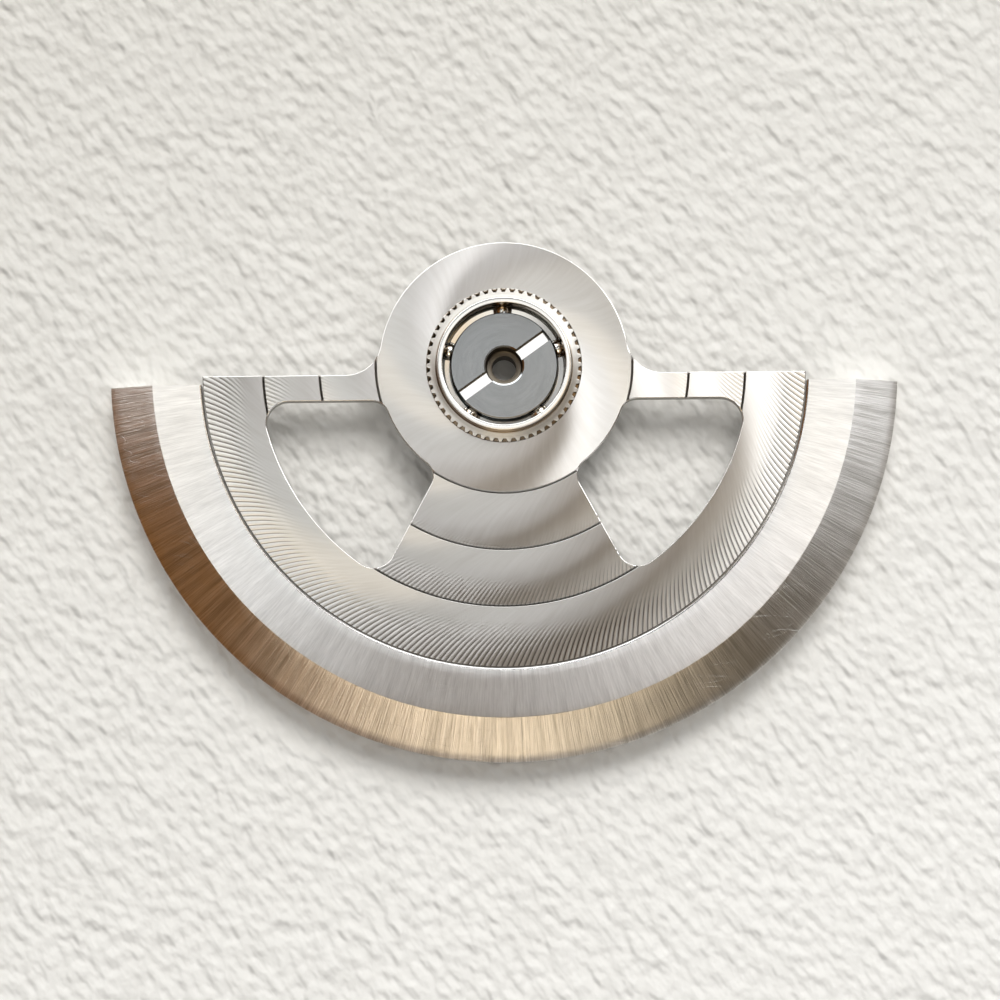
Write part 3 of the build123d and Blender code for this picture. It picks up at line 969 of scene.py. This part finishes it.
def slotted(profile, edge, slot_halves):
    """A profile carried round the two halves of the head beside the slot.

    On a circle of radius r the slot's edge, half a width from the middle, lies at an angle whose sine is the
    half width over r.
    """
    patches = []
    for turn in (0, np.pi):
        low = np.arcsin(slot_halves / profile[:, 0])[:, None]
        angle = slot_angle + turn + low + (np.pi - 2 * low) * np.linspace(0, 1, 121)
        points = polar(profile[:, :1], angle, profile[:, 1:])
        patches.append(patch(points, angle * head_radius, length_along(profile)[:, None], edge[:, None]))
    return patches


def slot_faces(side):
    """Walls and floor of the slot, from the pilot hole out to the side of the head, on both sides.

    They are worked out in the slot's own directions, along it and across it, and then turned into place. At a
    distance x from the slot's middle, a circle of radius r is the square root of r^2 - x^2 away along it.
    """
    def outwards(across, radius):
        inner = np.sqrt(pilot_radius**2 - across**2)
        return inner + (np.sqrt(radius**2 - across**2) - inner) * np.linspace(0, 1, 25)

    def grid(along, across, height):
        return np.stack(np.broadcast_arrays(along, across, height), axis=-1)

    height = np.array([slot_floor, slot_floor + 0.1, head_high - 0.04, head_high - 0.012])[:, None]
    half = slot_half_at(height)
    wall = outwards(half, np.interp(height, side[:, 1], side[:, 0]))
    across = np.linspace(-half[0, 0], half[0, 0], 9)[:, None]
    floor = outwards(across, side[0, 0])
    faces = []
    for end in (1, -1):
        for bank in (1, -1):
            # the walls' edge value of -0.5 paints a faint shade on them
            faces.append((grid(wall * end, half * bank, height)[::bank * end], -0.5, 0))
        faces.append((grid(floor * end, across, slot_floor)[::-end], 0.0, 1))
    sine, cosine = np.sin(slot_angle), np.cos(slot_angle)
    turn = np.array([[cosine, sine, 0], [-sine, cosine, 0], [0, 0, 1]])
    return [patch(points @ turn, points[..., 0], points[..., 1], edge, finish)
            for points, edge, finish in faces]


def thread():
    """The stud's thread: the radius dips by a triangle wave of height over pitch less turns round the axis.

    The wave is a little too high and is cut off, which leaves a narrow flat at the bottom of the thread. It
    fades out towards both ends.
    """
    angle = np.linspace(-np.pi, np.pi, 97)
    top, bottom = -undercut, stud_low + stud_bevel
    height = np.linspace(top, bottom, 61)[:, None]
    place = (height / thread_pitch - angle / (2 * np.pi)) % 1
    dip = np.clip(1.15 - 2.3 * np.abs(place - 0.5), 0, 1)
    fade = np.clip(np.minimum(top - height, height - bottom) / 0.03, 0, 1)
    points = polar(stud_radius - thread_depth * dip * fade, angle, height)
    # the thread's roots carry an edge value down to -0.5, a faint painted shade
    return patch(points, angle * stud_radius, height, -0.5 * dip * fade)


def make_screw():
    """The whole core screw, from the vent hole over the head and down to the stud's end."""
    bore = np.array([
        (vent_radius, stud_low), (vent_radius, pilot_floor), (pilot_radius - pilot_fillet, pilot_floor),
        (pilot_radius - 0.06, pilot_floor + 0.03), (pilot_radius, pilot_floor + pilot_fillet),
        (pilot_radius, slot_floor)])
    cone_at_slot = cone_radius + slot_floor - (ball_height + race_half)
    # each row: radius, height, edge value
    beside_slot = np.array([
        (pilot_radius, slot_floor, 0),
        (pilot_radius, head_high - 0.033, 1),
        (pilot_radius + pilot_bevel, head_high, 1),
        (pilot_radius + pilot_bevel + 0.02, head_high, 0),
        (1.30, head_high, 0),
        (head_radius - 1.5 * head_bevel, head_high, 0),
        (head_radius - head_bevel, head_high, 1),
        (head_radius, head_high - head_bevel, 0.7),
        (head_radius, ball_height + cone_half, 0),
        (cone_at_slot, slot_floor, 0),
    ])
    beside_slot, edge = beside_slot[:, :2], beside_slot[:, 2]
    halves = slot_half_at(beside_slot[:, 1])
    below_slot = np.array([
        (cone_at_slot, slot_floor), (cone_radius, ball_height + race_half), (cone_radius, ball_height),
        (stem_radius, ball_height), (stem_radius, 0), (stud_radius, 0), (stud_radius, -undercut)])
    stud_end = np.array([
        (stud_radius, stud_low + stud_bevel), (stud_radius - stud_bevel, stud_low), (vent_radius, stud_low)])
    hole = [turned(bore, np.zeros(len(bore)), 240), *slotted(beside_slot[:2], edge[:2], halves[:2])]
    # the whole hole takes the third metal, whose near-black colour is painted shade
    for part in hole:
        part["finish"] = 2
    head = slotted(beside_slot[1:], edge[1:], halves[1:])
    slot = slot_faces(beside_slot[6:][::-1])
    stem = turned(below_slot, np.zeros(len(below_slot)), 240)
    foot = turned(stud_end, np.zeros(len(stud_end)), 96)
    return skin("slotted_screw", [*hole, *head, *slot, stem, thread(), foot], crease=22)


dressed(make_screw(), "bearing_core", "screw_steel", (ground_steel, bright_cut, bore_painted_dark), "centre_screw")

# %% [markdown]
# ## The rest of the bearing
#
# The lower cone is a plain turned ring. The cage is a crown: a thin ring whose upper edge rises into posts
# and dips round each ball. That edge is a path, flat on the posts and an arc of the pocket's circle between
# them, and four of its copies, inner and outer, high and low, make the grid. The balls are spheres with their
# poles on the turning axis.

# %% Cone, cage and balls
ball_count = 5
ball_angles = np.radians(19.0) + 2 * np.pi * np.arange(ball_count) / ball_count
ball_radius, pocket_radius = 0.30, 0.32
cage_in, cage_out, cage_low, cage_high = 1.76, 1.95, 0.06, 0.62
cage_bevel = 0.02


def make_cone():
    """The lower half of the inner race: the screw's cone mirrored, on a ring that fits round the stem."""
    inside = stem_radius + 0.005
    corners = [
        (inside, 0), (inside, ball_height), (cone_radius, ball_height),
        (cone_radius, ball_height - race_half), (head_radius, ball_height - cone_half), (head_radius, 0)]
    return skin("lower_race", [turned(*softened(corners, (0.03, 0.02, 0.02, 0.02, 0.02, 0.03)), 180)])


def make_cage():
    """The crown cage. The pocket's arc starts where its circle reaches the posts' height."""
    start = np.arcsin((cage_high - ball_height) / pocket_radius)
    sweep = np.linspace(np.pi - start, 2 * np.pi + start, 33)
    arc = pocket_radius * np.cos(sweep) / ball_circle
    post = np.linspace(0, 1, 17)[1:-1] * (2 * np.pi / ball_count - 2 * arc[-1]) + arc[-1]
    # one ball and the post after it, repeated round the cage and closed with the first point
    one = np.append(arc, post)
    angle = np.append((one + ball_angles[:, None]).ravel(), one[0] + ball_angles[0] + 2 * np.pi)
    one = np.append(ball_height + pocket_radius * np.sin(sweep), np.full(len(post), cage_high))
    height = np.append(np.tile(one, ball_count), one[0])
    # between its two bevels the upper edge falls by a hundredth of a millimetre towards the axis
    rows = [
        (cage_in, cage_low), (cage_in, height - 1.5 * cage_bevel), (cage_in + cage_bevel, height - 0.0105),
        (cage_out - cage_bevel, height), (cage_out, height - cage_bevel), (cage_out, cage_low),
        (cage_in, cage_low)]
    points = np.stack([polar(radius, angle, z) for radius, z in rows])
    edge = np.array([0, 0.8, 1, 1, 0.8, 0, 0])[:, None]
    across = 0.1 * np.arange(len(rows))[:, None]
    return skin("crown_cage", [patch(points, angle * cage_in, across, edge)], crease=35)


def make_ball(index):
    """A ball: longitude and latitude on a sphere about its own place."""
    longitude, latitude = np.linspace(-np.pi, np.pi, 49), np.linspace(-np.pi / 2, np.pi / 2, 25)[:, None]
    points = polar(ball_radius * np.cos(latitude), longitude[::-1], ball_radius * np.sin(latitude))
    points = points + polar(ball_circle, ball_angles[index], ball_height)
    surface = patch(points, longitude * ball_radius, latitude * ball_radius)
    return skin(f"bearing_ball_{index + 1}_bright", [surface], crease=60)


dressed(make_cone(), "bearing_core", "cone_steel", ground_steel, "lower_cone")
dressed(make_cage(), "cage", "cage_steel", polished_steel, "ball_cage")
for k in range(ball_count):
    dressed(make_ball(k), f"ball_{k + 1}", "ball_steel", polished_steel, f"bearing_ball_{k + 1}")

# %% [markdown]
# ## Rivets
#
# Five flat-headed rivets hold the segment. They are driven from below, so from above nothing shows.

# %% Rivets
rivet_circle = stripe_radii[3] + 0.03 + 0.475
rivet_angles = np.radians([-162, -126, -90, -54, -18])
shank_radius, shank_high = 0.18, flange_high + 0.18
rivet_head_radius, rivet_head_low = 0.34, plate_low - 0.12
on_axis = 0.0001


def make_rivet(index):
    """A rivet: turned on its own axis, then carried to its place under the flange."""
    corners = [
        (on_axis, shank_high), (shank_radius, shank_high), (shank_radius, plate_low),
        (rivet_head_radius, plate_low), (rivet_head_radius, rivet_head_low), (on_axis, rivet_head_low)]
    shape = turned(*softened(corners, (0, 0.02, 0.01, 0.01, 0.05, 0)), 48)
    shape["points"] = shape["points"] + polar(rivet_circle, rivet_angles[index], 0)
    return skin(f"rivet_{index + 1}", [shape])


for k in range(len(rivet_angles)):
    dressed(make_rivet(k), "rotor", "rivet_metal", ground_steel, f"segment_rivet_{k + 1}")

# %% [markdown]
# ## Floor, light and camera
#
# The rotor lies on its rim on a pale matt sheet. A large lamp high in the north gives the soft shadow below
# the arms; the pale world fills it in. Polished metal has no colour of its own to speak of: it shows the
# room. So the object sits in a light tent, a dome that only reflections see, painted with a few soft cards.

# %% Floor and lamps
# a hair below the rim, because two surfaces in the same place leave black specks
floor_height = rim_low - 0.02


def make_floor():
    """A wide round sheet, as rings of points that grow by the same factor outwards."""
    radius = np.concatenate([[0.001], np.geomspace(10, 4000, 24)])[:, None]
    angle = np.linspace(-np.pi, np.pi, 97)
    points = polar(radius, angle, floor_height)
    return skin("floor", [patch(points, points[..., 0], points[..., 1])])


def paper():
    """Pale sheet: warm white, faintly mottled, with a painted light falloff and a soft pebbled relief.

    From below it is see-through.
    """
    material, tree = blank_material("pale pebbled sheet")
    place = add(tree, "ShaderNodeTexCoord").outputs["Object"]
    cloud = add(tree, "ShaderNodeTexNoise", {"Vector": place, "Scale": 900.0, "Detail": 3.0}).outputs["Fac"]
    leaning = add(tree, "ShaderNodeMapping", {"Vector": place, "Rotation": (0.0, 0.0, -0.95),
                                              "Scale": (1.5, 1.0, 1.0)}, vector_type="TEXTURE")
    pebble = add(tree, "ShaderNodeTexNoise", {"Vector": leaning.outputs[0], "Scale": 3300.0, "Detail": 0.4})
    # painted light falloff: the sheet's colour turns paler to the right and, faster, to the front
    slope = add(tree, "ShaderNodeVectorMath", {0: place, 1: (9.0, -24.0, 0.0)}, operation="DOT_PRODUCT")
    light_falloff_and_mottle = maths(tree, "ADD", slope.outputs["Value"], maths(tree, "MULTIPLY_ADD", cloud, 0.3, 0.31))
    tone = mixed(tree, light_falloff_and_mottle, (0.68, 0.665, 0.625), (0.90, 0.895, 0.87))
    relief = maths(tree, "MULTIPLY_ADD", cloud, 0.6, pebble.outputs["Fac"])
    bump = add(tree, "ShaderNodeBump", {"Height": relief, "Distance": 0.18 * MM})
    shader = add(tree, "ShaderNodeBsdfPrincipled", {"Base Color": tone, "Roughness": 0.75,
                                                    "Normal": bump.outputs[0]})
    clear = add(tree, "ShaderNodeBsdfTransparent")
    facing = add(tree, "ShaderNodeNewGeometry").outputs["Backfacing"]
    either = add(tree, "ShaderNodeMixShader", {0: facing, 1: shader.outputs[0], 2: clear.outputs[0]})
    add(tree, "ShaderNodeOutputMaterial", {"Surface": either.outputs[0]})
    return material


floor = make_floor()
floor.data.materials.append(paper())


# %% Light tent
def direction(azimuth, elevation):
    """A unit vector from compass angles in degrees: 0 is +X, 90 is +Y, elevation is above the floor."""
    a, e = np.radians(azimuth), np.radians(elevation)
    return np.stack([np.cos(a) * np.cos(e), np.sin(a) * np.cos(e), np.sin(e) + 0 * a], axis=-1)


tent_radius = 300.0
tent_base = (0.25, 0.22, 0.18)
# azimuth, elevation, half width and half height of a card in degrees, its soft border, and its colour
tent_cards = (
    (200, 20, 45, 30, 6, (0.22, 0.09, 0.02)),  # wide and dark brown, in the west
    (96, 17, 43, 36, 6, (4.35, 4.45, 4.45)),   # the main one, wide and white in the north
    (55, 38, 9, 30, 4, (3.60, 3.63, 3.66)),    # narrow and upright in the north-east
    (38, 49, 8, 14, 3, (6.50, 6.55, 6.60)),    # beside it, the brightest
    (145, 49, 10, 13, 5, (3.10, 3.12, 3.17)),  # white, in the north-west
    (8, 63, 15, 9, 4, (0.00, 0.00, 0.00)),     # black, high in the east
    (10, 38, 15, 5, 5, (2.50, 2.55, 2.60)),    # a flat white bar below it
    (266, 53, 12, 11, 5, (3.10, 2.58, 1.84)),  # warm, in the south
    (307, 10, 21, 14, 6, (1.60, 1.60, 1.60)),  # pale, at the foot of the dome in the south-east
    (209, 76, 21, 7, 4, (1.34, 1.36, 1.31)),   # pale, high in the south-west
    (30, 80, 12, 5, 4, (1.05, 0.76, 0.42)),    # small and amber, near the top
    (324, 53, 31, 17, 5, (0.06, 0.03, 0.00)),  # wide and nearly black, in the south-east
    (122, 75, 32, 8, 6, (0.00, 0.00, 0.00)),   # black, high in the north-west
    (90, 81, 25, 3, 3, (1.35, 1.35, 1.35)),    # a thin pale bar, high above the main one
    (0, 90, 180, 3, 3, (1.20, 1.17, 1.10)),    # a pale spot straight above
)


def tent_light(azimuth, elevation):
    """The tent's glow in a direction: each card covers what is below it, fading over its soft border."""
    glow = np.broadcast_to(np.array(tent_base), (*np.broadcast(azimuth, elevation).shape, 3)).copy()
    for middle, high, half_width, half_height, border, colour in tent_cards:
        aside = np.maximum(np.abs((azimuth - middle + 180) % 360 - 180) - half_width, 0)
        above = np.maximum(np.abs(elevation - high) - half_height, 0)
        cover = np.clip(1 - np.hypot(aside * np.cos(np.radians(elevation)), above) / border, 0, 1)
        cover = (cover * cover * (3 - 2 * cover))[..., None]
        glow = glow * (1 - cover) + np.array(colour) * cover
    return glow


def make_tent():
    """The dome, its faces looking inwards, with its glow as a colour on each point."""
    azimuth, elevation = np.linspace(-180, 180, 181), np.linspace(-8, 90, 60)[:, None]
    points = tent_radius * direction(*np.broadcast_arrays(azimuth, elevation))
    glow = tent_light(*np.broadcast_arrays(azimuth, elevation))
    mesh = bpy.data.meshes.new("light_tent")
    corners = triangles_of(*points.shape[:2])
    mesh.from_pydata((points.reshape(-1, 3) * MM).tolist(), [], corners.tolist())
    colour = mesh.attributes.new("glow", "FLOAT_COLOR", "POINT")
    colour.data.foreach_set("color", np.concatenate([glow, np.ones_like(glow[..., :1])], -1).ravel())
    material, tree = blank_material("tent glow")
    painted = add(tree, "ShaderNodeAttribute", attribute_name="glow")
    emission = add(tree, "ShaderNodeEmission", {"Color": painted.outputs["Color"], "Strength": 1.0})
    add(tree, "ShaderNodeOutputMaterial", {"Surface": emission.outputs[0]})
    mesh.materials.append(material)
    tent = bpy.data.objects.new("light_tent", mesh)
    bpy.context.scene.collection.objects.link(tent)
    tent.visible_camera = tent.visible_diffuse = tent.visible_shadow = tent.visible_transmission = False
    tent.visible_volume_scatter = False
    return tent


tent = make_tent()


def lamp(name, azimuth, elevation, distance, size, power, colour):
    """A square lamp that looks at the rotor from a compass direction. Sizes in mm."""
    data = bpy.data.lights.new(name, "AREA")
    data.size, data.energy, data.color = size * MM, power, colour
    made = bpy.data.objects.new(name, data)
    bpy.context.scene.collection.objects.link(made)
    place = direction(azimuth, elevation) * distance * MM
    made.location = place
    made.rotation_mode = "QUATERNION"
    made.rotation_quaternion = Vector(place).to_track_quat("Z", "Y")
    made.visible_glossy = False
    made.visible_camera = False
    return made


lamp("north lamp", 80, 50, 600, 320, 2.64, (1.0, 0.985, 0.96))

world = bpy.data.worlds.new("pale room")
bpy.context.scene.world = world
world.use_nodes = True
background = world.node_tree.nodes["Background"].inputs
background["Color"].default_value = (0.80, 0.79, 0.77, 1)
background["Strength"].default_value = 0.55

# %% [markdown]
# The camera looks down on the rotor from a hand's breadth, leaning six and a half degrees to the south, which
# is why the polished lip seems shifted northwards against the hub.

# %% Camera
camera_distance = 90.0
camera_lean, camera_roll = np.radians([6.5, 0.54])
look_at = np.array([-0.173, -4.394, plate_high])
# the picture is 1000 pixels wide, and a millimetre on the plate is 31.07 of them
picture_width_at_plate = 1000 / 31.07
sensor_width = 36.0

right = np.array([np.cos(camera_roll), -np.sin(camera_roll), 0])
north = np.array([np.sin(camera_roll), np.cos(camera_roll), 0])
up = np.cos(camera_lean) * north + np.sin(camera_lean) * np.array([0, 0, 1])
back = np.cross(right, up)
camera_data = bpy.data.cameras.new("camera")
camera = bpy.data.objects.new("camera", camera_data)
bpy.context.scene.collection.objects.link(camera)
camera_data.sensor_width = sensor_width
camera_data.lens = sensor_width * camera_distance / picture_width_at_plate
camera_data.clip_start, camera_data.clip_end = 0.001, 20.0
position = (look_at + camera_distance * back) * MM
camera.matrix_world = Matrix(np.column_stack([right, up, back, position]).tolist()).to_4x4()
bpy.context.scene.camera = camera
bpy.context.scene.view_settings.view_transform = "Standard"
